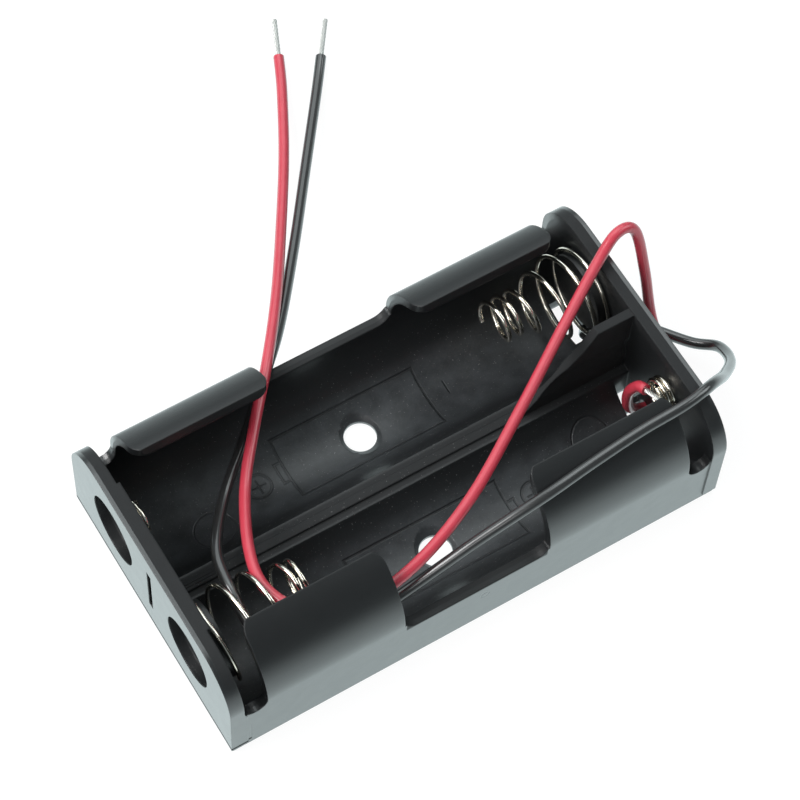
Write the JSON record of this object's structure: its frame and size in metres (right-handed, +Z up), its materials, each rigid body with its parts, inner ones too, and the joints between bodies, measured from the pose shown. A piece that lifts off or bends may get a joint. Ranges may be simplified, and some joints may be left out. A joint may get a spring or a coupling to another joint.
{
  "type": "cylindrical cell holder",
  "caption": "Open moulded tray for cylindrical cells side by side, with curled side tabs, stepped spring and coil contacts, screw holes and red and black wire leads.",
  "frame": {"origin": "centre of the tray's underside", "axes": "+X along the cells to the end where the leads start, +Y across them to the bay at the back, +Z up, out of the bays"},
  "size_m": [0.0667, 0.0736, 0.0173],
  "materials": {
    "tray_plastic": "satin moulded black",
    "contact_wire": "bright nickel plate",
    "red_insulation": "smooth soft PVC",
    "black_insulation": "smooth soft PVC",
    "tinned_strands": "tinned"
  },
  "bodies": {
    "root": {"tray": "tray_plastic", "link_contact": "contact_wire", "spring_contact": "contact_wire", "button_contact": "contact_wire", "red_lead": "red_insulation", "red_core": "tinned_strands", "red_tip": "tinned_strands", "black_lead": "black_insulation", "black_core": "tinned_strands", "black_tip": "tinned_strands"}
  },
  "joints": []
}
